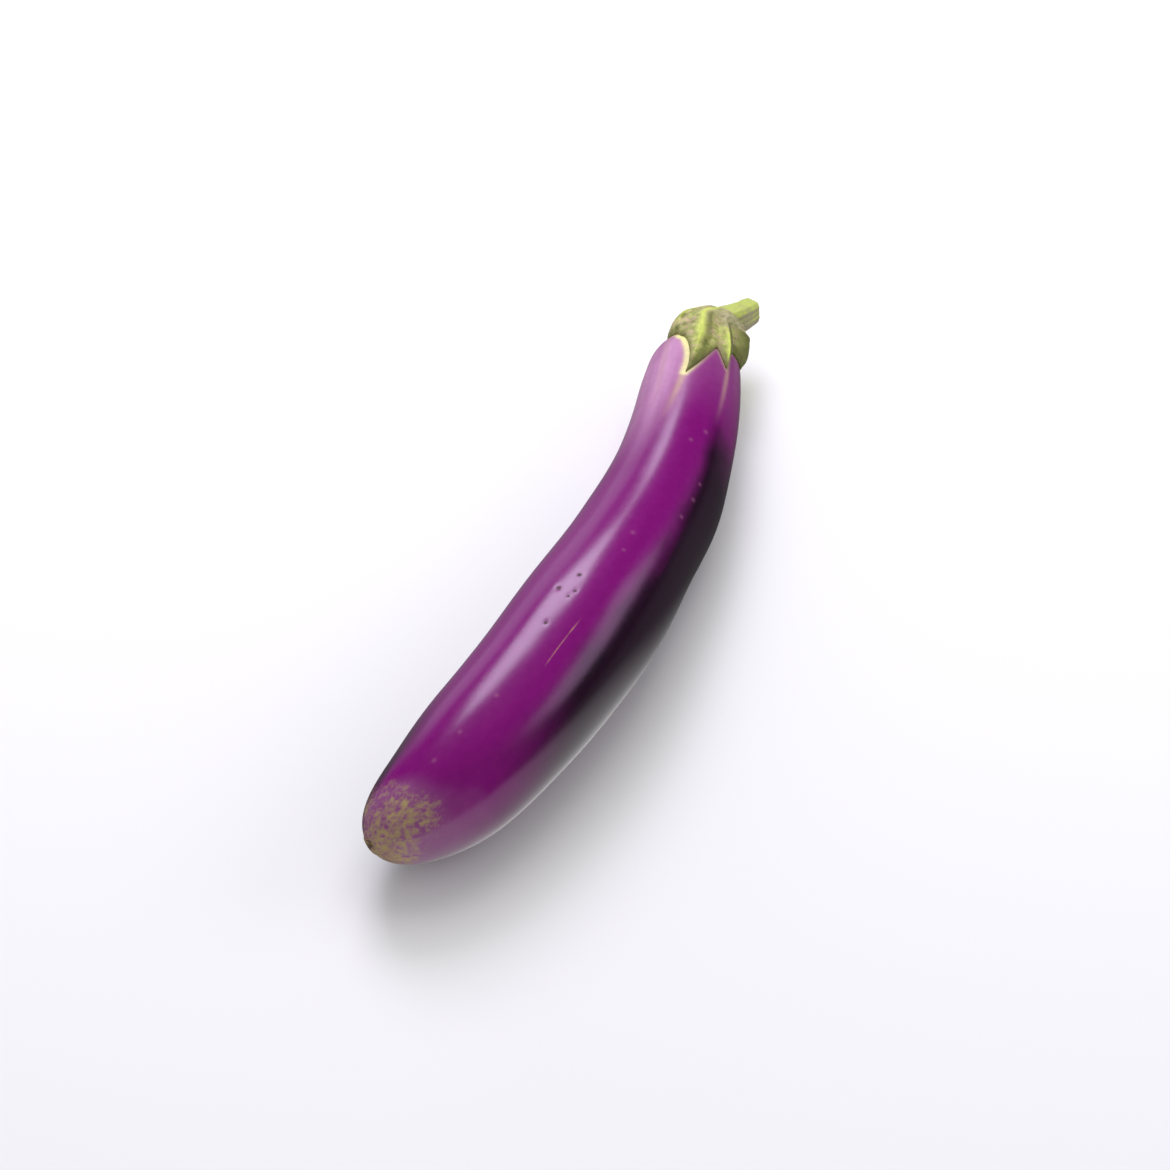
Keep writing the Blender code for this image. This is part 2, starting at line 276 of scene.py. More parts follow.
def axis_table():
    """Distances along the axis and its level places there, found by walking its headings."""
    along = np.arange(-AXIS_LEAD, FRUIT_LENGTH + AXIS_STEP, AXIS_STEP)
    middle = axis_heading(along[:-1] + AXIS_STEP / 2)
    x = np.concatenate(([0], np.cumsum(np.cos(middle)) * AXIS_STEP))
    y = np.concatenate(([0], np.cumsum(np.sin(middle)) * AXIS_STEP))
    x += SHOULDER_PLACE[0] - np.interp(0, along, x)
    y += SHOULDER_PLACE[1] - np.interp(0, along, y)
    return along, x, y


AXIS_ALONG, AXIS_X, AXIS_Y = axis_table()


def bent(rise, side, along):
    """Takes points of the straight eggplant to their places in the bent one; none goes under the floor."""
    heading = axis_heading(along)
    past_shoulder = np.maximum(-along, 0)
    lean = past_shoulder**2 / (past_shoulder + CROWN_EASE)
    aside = side + CROWN_SHIFT * lean
    x = np.interp(along, AXIS_ALONG, AXIS_X) - aside * np.sin(heading)
    y = np.interp(along, AXIS_ALONG, AXIS_Y) + aside * np.cos(heading)
    z = smooth(AXIS_HEIGHTS, np.clip(along, 0, FRUIT_LENGTH)) + rise + CROWN_RISE * lean
    return np.stack((x, y, np.maximum(z, 0)), axis=-1)


def outward_at(along):
    """The direction that the crown's middle line takes towards the stem's end, past the shoulder."""
    step = Vector(bent(0, 0, along - AXIS_STEP)) - Vector(bent(0, 0, along))
    return step.normalized()


def new_material(name):
    """A material with a Principled shader; returns it, its tree and its shader."""
    made = bpy.data.materials.new(name)
    made.use_nodes = True
    tree = Tree(made.node_tree)
    return made, tree, made.node_tree.nodes["Principled BSDF"]


def feed(tree, shader, **sockets):
    """Links wires to the shader's sockets, or sets their values; a name's underscores are spaces."""
    for name, value in sockets.items():
        socket = shader.inputs[name.replace("_", " ")]
        if isinstance(value, Wire):
            tree.nodes.links.new(value.socket, socket)
        else:
            socket.default_value = value


def rgb(red, green, blue):
    return (red, green, blue, 1)


def straight_place(tree):
    """A point's place in the straight eggplant: the vector, its parts, and its angle round the axis."""
    straight = tree.triple("straight")
    rise, side, along = straight.parts()
    return straight, rise, side, along, rise.math("ARCTAN2", side, rise) * (180 / pi)


# The skin's colours. Those of the ground come first, then those of its marks.
SKIN_MAGENTA = rgb(0.2, 0.0025, 0.155)
# The next colour is painted shade, a nearly black purple.
SKIN_PAINTED_SHADE = rgb(0.012, 0.003, 0.011)
SKIN_UNDER = rgb(0.08, 0.02, 0.06)
SKIN_LILAC = rgb(0.5, 0.22, 0.42)
SKIN_CREAM = rgb(0.5, 0.3, 0.24)
SKIN_PALE_YELLOW = rgb(0.88, 0.84, 0.34)
SKIN_RUSSET = rgb(0.42, 0.32, 0.11)
SKIN_VIOLET = rgb(0.3, 0.11, 0.25)
SKIN_SCAB = rgb(0.05, 0.02, 0.01)
SKIN_DOT = rgb(0.4, 0.13, 0.26)
SKIN_SCRATCH = rgb(0.5, 0.22, 0.16)
SKIN_ROUGHNESS = 0.23

# Where the colours lie, from where each starts to where it is full: ANGLES round the fruit, REACH along it.
UNDER_ANGLES = (60, 130)
# The next two rows place the band of painted shade on the convex side; the SHADE rows place the painted shade
# by the blossom end.
PAINTED_SHADE_ANGLES = ((28, 51), (150, 95))
PAINTED_SHADE_REACH = ((42, 80), (222, 168))
SHADE_ANGLES = (-26, -52)
SHADE_MIDDLE = 242
SHADE_HALF_LENGTH = 28
TIP_ANGLES = (-50, -15)
TIP_REACH = (228, 256)
NECK_ANGLES = (20, -30)
NECK_REACH = (62, 6)
RUSSET_MIDDLE = 30
RUSSET_HALF_WIDTH = 45
RUSSET_REACH = (244, 268)

# Pale streaks below the lobes' tips: start, end, the angle at each, half width in degrees, and strength.
STREAKS = (
    (26, 66, -4, -16, 4, 0.9),
    (18, 58, 46, 40, 3.0, 0.6),
    (14, 60, -38, -30, 5, 0.3),
)

# The healed scratch: start, end, angle and half width, and by how many degrees it bows.
SCRATCH = (165, 188, 18.0, 0.45)
SCRATCH_BOW = 1.0
SCRATCH_ENDS = 5
MM_PER_DEGREE = 0.4


def skin_material():
    """Glossy purple skin: painted shade on one side, paler by the calyx, streaked, scratched and russet at its
    tip.
    """
    made, tree, shader = new_material("eggplant skin")
    straight, rise, side, along, angle = straight_place(tree)
    long_grain = tree.vector(rise * 0.16, side * 0.16, along * 0.02)
    waver = tree.noise(long_grain, 1.0, 3) - 0.5
    mottle = tree.noise(straight, 0.35, 4, 0.6) - 0.5
    coarse = tree.noise(straight, 0.05, 2) - 0.5

    # Magenta on top and darker below, with painted shade on the convex side and by the blossom end's left
    # side. Each border wavers with the noise added to it.
    turned = angle + waver * 16 + coarse * 10
    colour = tree.blend((angle.size() + waver * 30).ramp(*UNDER_ANGLES), SKIN_MAGENTA, SKIN_UNDER)
    painted_shade = turned.ramp(*PAINTED_SHADE_ANGLES[0]) * turned.ramp(*PAINTED_SHADE_ANGLES[1])
    painted_shade = painted_shade * (along + coarse * 40).ramp(*PAINTED_SHADE_REACH[0])
    painted_shade = painted_shade * (along + waver * 20 - angle * 0.25).ramp(*PAINTED_SHADE_REACH[1])
    colour = tree.blend(painted_shade * 0.97, colour, SKIN_PAINTED_SHADE)
    shaded = turned.ramp(*SHADE_ANGLES) * (along + waver * 20).bell(SHADE_MIDDLE, SHADE_HALF_LENGTH)
    colour = tree.blend(shaded * 0.85, colour, SKIN_PAINTED_SHADE)
    tip = (along + coarse * 30).ramp(*TIP_REACH) * 0.75 * (turned + (along - 250) * 4).ramp(*TIP_ANGLES)
    colour = tree.blend(tip, colour, SKIN_VIOLET)

    # The skin pales towards the calyx, most on the left, and below the lobes' tips.
    left = angle.ramp(*NECK_ANGLES)
    fade = (along + waver * 16 - left * 30).ramp(*NECK_REACH) * (0.35 + 0.65 * left)
    colour = tree.blend((fade * (0.85 + waver * 1.4)).clamped(), colour, SKIN_LILAC)
    for start, end, from_angle, to_angle, width, strength in STREAKS:
        progress = (along - start) / (end - start)
        middle = from_angle + (to_angle - from_angle) * progress
        streak = (angle + waver * 3 - middle).bell(0, width)
        streak = streak * progress.ramp(-0.3, 0) * progress.ramp(1, 0.3)
        colour = tree.blend((streak * strength).clamped(), colour, SKIN_CREAM)
    rim = tree.number("calyx_rim")
    colour = tree.blend((rim * (1 + mottle * 0.4)).clamped(), colour, SKIN_PALE_YELLOW)

    # A healed scratch, sunken scabs and pale dots.
    start, end, middle, width = SCRATCH
    bow = ((along - (start + end) / 2) / ((end - start) / 2)) ** 2 * SCRATCH_BOW
    scratch = (angle + waver * 2 - bow - middle).bell(0, width) * (0.6 + mottle * 2)
    scratch = scratch * along.ramp(start, start + SCRATCH_ENDS) * along.ramp(end, end - SCRATCH_ENDS)
    colour = tree.blend(scratch.clamped(), colour, SKIN_SCRATCH)

    def spots(marks):
        """Round marks, each 1 in its middle."""
        found = 0
        for place, turn, size in marks:
            found = along.bell(place, size) * angle.bell(turn, size / MM_PER_DEGREE) + found
        return found

    scabs = (spots(PITS) + mottle * 0.5).ramp(0.35, 0.6)
    colour = tree.blend(spots(DOTS).clamped() * 0.35, colour, SKIN_DOT)
    colour = tree.blend(scabs * 0.7, colour, SKIN_SCAB)

    # Russet: a corky net, dense at the blossom end and thinning out in streaks.
    cells = {"Vector": straight, "Scale": 0.42, "Randomness": 1}
    net = tree.add("ShaderNodeTexVoronoi", cells, feature="DISTANCE_TO_EDGE")
    cork = tree.noise(tree.vector(rise, side, along * 0.55), 0.55, 6, 0.7)
    patch = (along + turned.bell(RUSSET_MIDDLE, RUSSET_HALF_WIDTH) * 8 + coarse * 40).ramp(*RUSSET_REACH)
    russet = (cork + patch * 0.25 - net.ramp(0.0, 0.35) * 0.1).ramp(0.46, 0.8) * patch.ramp(0, 0.5)
    russet = russet * (0.85 + mottle * 0.4)
    colour = tree.blend(russet, colour, SKIN_RUSSET)

    lit = tree.brightened(colour, 1 + mottle * 0.25 + waver * 0.2)
    rough = SKIN_ROUGHNESS + mottle * 0.08 + russet * 0.3 + rim * 0.15 + scabs * 0.3
    height = mottle * 0.12 + tree.noise(straight, 1.2, 4, 0.6) * 0.25
    height = height + russet * 0.8 + scratch * 0.5 - scabs * 0.6
    feed(tree, shader, Base_Color=lit, Roughness=rough, Normal=tree.bump(height, 0.35, 0.1))
    return made


def evaluated(shape):
    """The mesh that an object's modifiers make, as a plain mesh; the object is removed."""
    graph = bpy.context.evaluated_depsgraph_get()
    finished = shape.evaluated_get(graph)
    mesh = bpy.data.meshes.new_from_object(finished, preserve_all_data_layers=True, depsgraph=graph)
    bpy.data.objects.remove(shape)
    return mesh


def store(mesh, name, kind, values):
    """Keeps a number or a vector for each point of a mesh, for its material to read."""
    key = "vector" if kind == "FLOAT_VECTOR" else "value"
    mesh.attributes.new(name, kind, "POINT").data.foreach_set(key, values.astype(np.float32).ravel())


def finish_piece(name, mesh, node=None):
    """Puts a finished mesh in the scene, on the one body and in place of its node."""
    piece = bpy.data.objects.new(name, mesh)
    bpy.context.scene.collection.objects.link(piece)
    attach(piece, "root")
    if node:
        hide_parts(node)
    return piece


def grown(name, tree_nodes, values, mesh=None):
    """Runs a Geometry Nodes tree on an object and gives the mesh that it makes."""
    holder = bpy.data.objects.new(name, mesh or bpy.data.meshes.new(name))
    bpy.context.scene.collection.objects.link(holder)
    modifier = holder.modifiers.new(name, "NODES")
    modifier.node_group = tree_nodes
    for item in tree_nodes.interface.items_tree:
        if item.in_out == "INPUT" and item.name in values:
            modifier[item.identifier] = values[item.name]
    made = evaluated(holder)
    made.name = name
    return made


def geometry_tree(name, inputs):
    """A new Geometry Nodes tree with named inputs; returns it and the inputs as wires."""
    nodes = bpy.data.node_groups.new(name, "GeometryNodeTree")
    nodes.interface.new_socket("Geometry", in_out="INPUT", socket_type="NodeSocketGeometry")
    nodes.interface.new_socket("Geometry", in_out="OUTPUT", socket_type="NodeSocketGeometry")
    for label, (kind, value) in inputs.items():
        socket = nodes.interface.new_socket(label, in_out="INPUT", socket_type="NodeSocket" + kind)
        if value is not None:
            socket.default_value = value
    tree = Tree(nodes)
    group = nodes.nodes.new("NodeGroupInput")
    wires = {socket.name: Wire(tree, socket) for socket in group.outputs if socket.name}
    return tree, wires


def end_tree(tree, geometry, look):
    """Ends a tree in Realize Instances and Set Material."""
    geometry = tree.add("GeometryNodeRealizeInstances", {0: geometry})
    geometry = tree.add("GeometryNodeSetMaterial", {"Geometry": geometry, "Material": look})
    tree.add("NodeGroupOutput", {0: geometry})
    return tree.nodes


def axis_object():
    """The axis as a level line of edges, in mm, with its height and the fruit's radius at each point."""
    mesh = bpy.data.meshes.new("axis")
    points = np.stack((AXIS_X, AXIS_Y, AXIS_X * 0), axis=-1)
    mesh.from_pydata(points.tolist(), [(i, i + 1) for i in range(len(points) - 1)], [])
    section = np.zeros((len(points), 3))
    section[:, 0] = smooth(AXIS_HEIGHTS, np.clip(AXIS_ALONG, 0, FRUIT_LENGTH))
    section[:, 1] = smooth(FRUIT_RADII, np.clip(AXIS_ALONG, 0, FRUIT_LENGTH))
    store(mesh, "section", "FLOAT_VECTOR", section)
    axis = bpy.data.objects.new("axis", mesh)
    bpy.context.scene.collection.objects.link(axis)
    axis.hide_render = True
    return axis


def named_vector(tree, name):
    return tree.add("GeometryNodeInputNamedAttribute", {"Name": name}, data_type="FLOAT_VECTOR")


def store_vector(tree, geometry, name, value):
    sockets = {"Geometry": geometry, "Name": name, "Value": value}
    return tree.add("GeometryNodeStoreNamedAttribute", sockets, data_type="FLOAT_VECTOR", domain="POINT")


def fruit_tree():
    """The fruit: a grid wrapped round the axis, with rounded ends, swells, pits and a scar at its tip."""
    inputs = {
        "Axis": ("Object", None),
        "Axis Lead": ("Float", AXIS_LEAD),
        "Length": ("Float", FRUIT_LENGTH),
        "Shoulder Depth": ("Float", SHOULDER_DEPTH),
        "Blossom Depth": ("Float", BLOSSOM_DEPTH),
        "End Fullness": ("Float", END_FULLNESS),
        "Swell": ("Float", 1.0),
        "Pit Depth": ("Float", 0.25),
        "Scar Depth": ("Float", 1.1),
        "Rings": ("Int", FRUIT_RINGS),
        "Sides": ("Int", FRUIT_SIDES),
        "Material": ("Material", None),
    }
    tree, given = geometry_tree("fruit round its axis", inputs)
    grid = {0: 1, 1: 1, 2: given["Rings"] + 1, 3: given["Sides"] + 1}
    grid = tree.add("GeometryNodeMeshGrid", grid)
    across, round_it, _ = tree.add("GeometryNodeInputPosition").parts()
    along = given["Length"] * (0.5 - ((across + 0.5) * pi).cosine() * 0.5)
    angle = round_it * (2 * pi)

    given_axis = {"Object": given["Axis"]}
    line = tree.add("GeometryNodeObjectInfo", given_axis, "Geometry", transform_space="ORIGINAL")
    line = tree.add("GeometryNodeMeshToCurve", {"Mesh": line})

    def sampled(where):
        """The axis's own height and radius at a distance along the fruit."""
        settings = {"mode": "LENGTH", "data_type": "FLOAT_VECTOR"}
        section = named_vector(tree, "section")
        sockets = {"Curves": line, "Value": section, "Length": where + given["Axis Lead"]}
        return tree.add("GeometryNodeSampleCurve", sockets, "Value", **settings)

    def end(distance, depth):
        """How wide a rounded end is at a distance from its tip."""
        left = (1 - distance / depth).clamped()
        return (1 - left ** given["End Fullness"]).at_least(0) ** (1 / given["End Fullness"])

    def near(place, turn, length, width):
        """1 at a place on the fruit, and less round it; the width is in radians."""
        off_angle = ((angle - radians(turn)).cosine() - 1) * (2 / width**2)
        return along.bell(place, length) * off_angle.exp()

    radius = sampled(along).parts()[1] * end(along, given["Shoulder Depth"])
    radius = radius * end(given["Length"] - along, given["Blossom Depth"])
    extra = 0
    for place, turn, height, length, width in SWELLS:
        extra = near(place, turn, length, radians(width)) * height + extra
    extra = extra * given["Swell"]
    for place, turn, size in PITS:
        extra = extra - near(place, turn, size, size / PIT_FRUIT_RADIUS) * given["Pit Depth"]
    radius = (radius + extra * (radius / THIN_RADIUS).at_most(1)).at_least(0)
    from_scar = (radius * radius + SCAR_BLUR**2) ** 0.5
    ring = from_scar.bell(SCAR_RING_RADIUS, SCAR_RING_WIDTH) * SCAR_RING_SHARE
    sunk = (from_scar.bell(0, SCAR_WIDTH) - ring) * along.ramp(*SCAR_START) * given["Scar Depth"]

    straight = tree.vector(radius * angle.cosine(), radius * angle.sine(), along - sunk)
    body = store_vector(tree, grid, "straight", straight)
    rise, side, place = named_vector(tree, "straight").parts()
    axis = sampled(place)
    tangent = axis.output("Tangent")
    height = axis.parts()[0]
    sideways = tree.vector_math("CROSS_PRODUCT", (0, 0, 1), tangent)
    spot = tree.vector_math("ADD", axis.output("Position"), tree.scaled(sideways, side))
    spot = tree.vector_math("ADD", spot, tree.vector(0, 0, (height + rise).at_least(0)))
    body = tree.add("GeometryNodeSetPosition", {"Geometry": body, "Position": tree.scaled(spot, MM)})
    merge = {"Geometry": body, "Distance": MERGE_DISTANCE * MM}
    body = tree.add("GeometryNodeMergeByDistance", merge)
    body = tree.add("GeometryNodeFlipFaces", {"Mesh": body})
    body = tree.add("GeometryNodeSetShadeSmooth", {"Geometry": body})
    return end_tree(tree, body, given["Material"])


def build_fruit(axis):
    """The fruit in place of its solid."""
    mesh = grown("fruit_skin", fruit_tree(), {"Axis": axis, "Material": skin_material()})
    straight = np.empty(len(mesh.vertices) * 3)
    mesh.attributes["straight"].data.foreach_get("vector", straight)
    rim = calyx_rim(*straight.reshape(-1, 3).T)
    store(mesh, "calyx_rim", "FLOAT", rim)
    return finish_piece("fruit_skin", mesh, "fruit")


# The calyx's edge: gaps and lobe tips in turn, as the angle round the fruit, the distance down it, and by how
# many degrees the tip swings sideways from its root.
CALYX_EDGE = (
    (-17, 12.5, 0),
    (7, 35.5, -12),
    (27, 17.5, 0),
    (38, 26, 4),
    (54, 14, 0),
    (78, 13.5, 4),
    (104, 10.5, 0),
    (140, 26, -6),
    (162, 16, 0),
    (184, 25, 4),
    (206, 16, 0),
    (222, 27, -4),
    (276, 3, 0),
    (335, 9.5, 0),
)
LOBE_TAPER = 1.5
LOBE_SWING = 3
TOUCHING_GAP = 0.12
CALYX_COLUMNS_PER_EDGE = 24
CALYX_COLUMNS = CALYX_COLUMNS_PER_EDGE * len(CALYX_EDGE)
CALYX_ROWS = 80
ROW_CROWDING = 1.4
LIP_SHARE = 1 / 13

# The sheet's edge is rounded over this share of its reach, down to this share of its thickness.
EDGE_ROUNDING = 0.05
EDGE_SHARE = 0.35

# The fruit's outline under the calyx is tabled this far along it.
MERIDIAN_REACH = 40
MERIDIAN_POINTS = 600

# The stem, the hole in the solid round it, and how far in the sheet runs.
STEM_RADIUS = 6
HOLE_RADIUS = 8.07
INNER_RADIUS = 5.9

# The calyx's form, as in the part's own source, with finer relief. Inside the solid's hole it runs on up the
# stem, so that the two have no gap between them.
CROWN_HEIGHT = 8.4
CROWN_WIDTH = 11.5
CROWN_LEAN = 0.4
CROWN_FADE = 3
NECK_HEIGHT = 5.5
NECK_WIDTH = 1.8
LIP_HEIGHT = 18.5
LIP_EASE = 1.2
SHOULDER_THICKNESS = 2.4
EDGE_THICKNESS = 0.9
RIB_HEIGHT = 1.1
RIB_SHARPNESS = 3
RIB_LOW_POINT = 1.9
THICK_LOBE = (335, 22, 0.5)
PROUD_LOBE = (84, 36, 3.2)
PROUD_LOW_POINT = 1.5
FINE_RIBS = 46
FINE_RIB_HEIGHT = 0.05
LUMP_HEIGHT = 0.3

# The bleached rim of skin by the calyx's edge: how far down it can be, how many points stand for the edge,
# how many of the skin's are compared at a time, and the fruit's radius there. It is strongest and widest about
# RIM_ANGLE. RIM_WIDTHS gives its least width and what is added to it there.
RIM_REACH = 60
RIM_EDGE_POINTS = 1400
RIM_BATCH = 4000
RIM_FRUIT_RADIUS = 17
RIM_ANGLE = -18
RIM_HALF_ANGLE = 20
RIM_WIDTHS = (0.5, 1.5)
RIM_SOFTNESS = 0.3
RIM_LEAST = 0.35


def meridian_table():
    """The fruit's outline from its top: arc length, distance along, radius, and the outward direction."""
    along = MERIDIAN_REACH * np.linspace(0, 1, MERIDIAN_POINTS) ** 2
    radius = fruit_radius(along)
    arc = np.concatenate(([0], np.cumsum(np.hypot(np.diff(along), np.diff(radius)))))
    outward = np.stack((-np.gradient(radius, arc), np.gradient(along, arc)))
    outward /= np.hypot(*outward)
    return arc, along, radius, outward


ARC, ARC_ALONG, ARC_RADIUS, ARC_OUTWARD = meridian_table()
HOLE_ARC = np.interp(HOLE_RADIUS, ARC_RADIUS, ARC)
INNER_ARC = np.interp(INNER_RADIUS, ARC_RADIUS, ARC)


def around(angle, centre):
    """The angle between two directions round the fruit, as a size."""
    return np.abs((angle - centre + 180) % 360 - 180)


def hump(angle, lobe):
    """1 on a lobe's middle, falling smoothly to 0 at its half width; lobe is (centre, half width, height)."""
    return np.cos(np.minimum(around(angle, lobe[0]) / lobe[1], 1) * np.pi / 2) ** 2


def calyx_column(turn):
    """The calyx's edge at places in its round: root angle, reach, swing, and nearness to a lobe's middle."""
    edge = np.array(CALYX_EDGE, float)
    first = np.floor(turn).astype(int) % len(edge)
    part = turn - np.floor(turn)
    start = edge[first]
    end = edge[(first + 1) % len(edge)]
    turn_between = (end[:, 0] - start[:, 0]) % 360
    starts_in_gap = first % 2 == 0
    to_tip = np.where(starts_in_gap, part, 1 - part)
    gap = np.where(starts_in_gap[:, None], start, end)
    tip = np.where(starts_in_gap[:, None], end, start)
    reach = gap[:, 1] + (tip[:, 1] - gap[:, 1]) * to_tip**LOBE_TAPER
    return start[:, 0] + turn_between * part, reach, tip[:, 2] * to_tip**LOBE_SWING, to_tip


def calyx_rim(rise, side, along):
    """How strongly the skin is bleached, from 0 to 1, just outside the calyx's edge and under it."""
    turns = np.linspace(0, len(CALYX_EDGE), RIM_EDGE_POINTS, endpoint=False)
    root, edge_along, swing, _ = calyx_column(turns)
    edge_angle = root + swing
    angle = np.degrees(np.arctan2(side, rise))
    near = np.flatnonzero(along < RIM_REACH)
    away = np.full(len(along), float(RIM_REACH))
    for start in range(0, len(near), RIM_BATCH):
        chosen = near[start : start + RIM_BATCH]
        apart = np.radians(around(angle[chosen, None], edge_angle[None, :])) * RIM_FRUIT_RADIUS
        away[chosen] = np.hypot(apart, along[chosen, None] - edge_along[None, :]).min(1)
    strong = np.exp(-(((angle - RIM_ANGLE) / RIM_HALF_ANGLE) ** 2))
    width = RIM_WIDTHS[0] + RIM_WIDTHS[1] * strong
    return (RIM_LEAST + (1 - RIM_LEAST) * strong) / (1 + np.exp((away - width) / RIM_SOFTNESS))


def crown_height(arc, down, angle):
    """How far the crown stands up past the calyx's sheet, at an arc length from the fruit's top."""
    from_hole = arc - HOLE_ARC
    dome = CROWN_HEIGHT * (1 + CROWN_LEAN * np.sin(np.radians(angle)))
    dome = dome / (1 + (np.maximum(from_hole, 0) / CROWN_WIDTH) ** 4)
    height = dome + NECK_HEIGHT * np.exp(-np.maximum(from_hole, 0) / NECK_WIDTH)
    up_stem = 1 - np.exp(np.minimum(from_hole, 0) / LIP_EASE)
    return (height + (LIP_HEIGHT - height) * up_stem) * (1 - down**CROWN_FADE)


def calyx_thickness(arc, down, near_middle, angle):
    """The thickness of the calyx's sheet, in mm, with its ribs, fine fibres and lumps."""
    body = SHOULDER_THICKNESS + (EDGE_THICKNESS - SHOULDER_THICKNESS) * down**2
    rib = RIB_HEIGHT * near_middle**RIB_SHARPNESS * np.sin(np.pi * down**RIB_LOW_POINT)
    proud = PROUD_LOBE[2] * hump(angle, PROUD_LOBE) * np.sin(np.pi * down**PROUD_LOW_POINT)
    thick = THICK_LOBE[2] * hump(angle, THICK_LOBE) * down**2
    turn = np.radians(angle)
    fibres = FINE_RIB_HEIGHT * np.sin(FINE_RIBS * turn + 2 * np.sin(3 * turn) + down) * np.sin(np.pi * down)
    lumps = np.sin(arc * 0.55 + 2 * np.sin(2 * turn)) * np.sin(7 * turn + arc * 0.21)
    lumps = lumps + 0.6 * np.sin(arc * 1.3 + 5 * turn) * np.sin(13 * turn - arc * 0.4)
    return body + rib + proud + thick + fibres + LUMP_HEIGHT * lumps * np.sin(np.pi * down)


def calyx_sheets():
    """The calyx's under and upper points in the straight eggplant, and numbers for each point.

    The numbers are its nearness to a lobe's middle, how far down it is, and whether it is hairy.
    """
    turn = np.arange(CALYX_COLUMNS) / CALYX_COLUMNS_PER_EDGE
    turn, share = (grid.ravel() for grid in np.meshgrid(turn, np.linspace(0, 1, CALYX_ROWS + 1)))
    root_angle, reach, swing, near_middle = calyx_column(turn)
    edge_arc = np.interp(reach, ARC_ALONG, ARC)
    arc = INNER_ARC + (edge_arc - INNER_ARC) * share**ROW_CROWDING
    down = np.clip((arc - HOLE_ARC) / (edge_arc - HOLE_ARC), 0, 1) ** (1 / ROW_CROWDING)
    angle = root_angle + swing * down**LOBE_SWING
    turned = np.radians(angle)
    outward = np.stack([np.interp(arc, ARC, part) for part in ARC_OUTWARD])
    skin = np.stack((np.interp(arc, ARC, ARC_ALONG), np.interp(arc, ARC, ARC_RADIUS)))
    under = skin + outward * TOUCHING_GAP
    thick = calyx_thickness(arc, down, near_middle, angle) * np.clip(down / LIP_SHARE, 0, 1)
    rounding = np.clip((1 - share) / EDGE_ROUNDING, 0, 1) ** 0.5
    over = under + outward * thick * (EDGE_SHARE + (1 - EDGE_SHARE) * rounding)
    over[0] -= crown_height(arc, down, angle)
    sheets = []
    for along, radius in (under, over):
        sheets.append(np.stack((radius * np.cos(turned), radius * np.sin(turned), along), axis=-1))
    hairy = (down > 0) & (share < 1)
    numbers = {
        "rib": np.concatenate((near_middle, near_middle)),
        "down": np.concatenate((down, down)),
        "hairy": np.concatenate((hairy & False, hairy)),
    }
    return np.concatenate(sheets), numbers


def calyx_faces():
    """The faces of both sheets, and of the walls that close them at the hole and round the edge."""
    count = CALYX_COLUMNS * (CALYX_ROWS + 1)
    faces = []
    for row in range(CALYX_ROWS):
        for column in range(CALYX_COLUMNS):
            a = row * CALYX_COLUMNS + column
            b = row * CALYX_COLUMNS + (column + 1) % CALYX_COLUMNS
            c, d = b + CALYX_COLUMNS, a + CALYX_COLUMNS
            faces.append((a, b, c, d))
            faces.append((d + count, c + count, b + count, a + count))
    last_row = CALYX_ROWS * CALYX_COLUMNS
    for column in range(CALYX_COLUMNS):
        a, b = column, (column + 1) % CALYX_COLUMNS
        faces.append((b, a, a + count, b + count))
        a, b = a + last_row, b + last_row
        faces.append((a, b, b + count, a + count))
    return faces


def build_calyx():
    """The calyx in place of its solid: a thick lobed sheet with ribs, closed round its edge and its hole."""
    straight, numbers = calyx_sheets()
    mesh = bpy.data.meshes.new("calyx_lobes")
    mesh.from_pydata((bent(*straight.T) * MM).tolist(), [], calyx_faces())
    closed = bmesh.new()
    closed.from_mesh(mesh)
    bmesh.ops.recalc_face_normals(closed, faces=closed.faces)
    closed.to_mesh(mesh)
    closed.free()
    store(mesh, "straight", "FLOAT_VECTOR", straight)
    for name, values in numbers.items():
        store(mesh, name, "FLOAT", values)
    mesh.materials.append(calyx_material())
    mesh.shade_smooth()
    return finish_piece("calyx_lobes", mesh, "calyx")


CALYX_OLIVE = rgb(0.25, 0.25, 0.06)
CALYX_GREEN = rgb(0.46, 0.5, 0.13)
CALYX_GREY = rgb(0.4, 0.37, 0.2)
CALYX_PINK = rgb(0.5, 0.37, 0.22)
# The next colour serves both dark stains and painted shade.
CALYX_DARK_AND_SHADE = rgb(0.13, 0.145, 0.02)
CALYX_SPECK = rgb(0.09, 0.07, 0.03)
RIB_YELLOW = rgb(0.6, 0.7, 0.11)

# Angles of what the calyx's colours follow: each bright rib's root and how far it swings by its tip, and the
# middles of the grey crown, the hanging lobe and the gap before it.
UPPER_RIB = (7, -12)
SECOND_RIB = (39.5, 4)
CROWN_ANGLE = 62
HANGING_ANGLE = 84
BETWEEN_ANGLE = 47


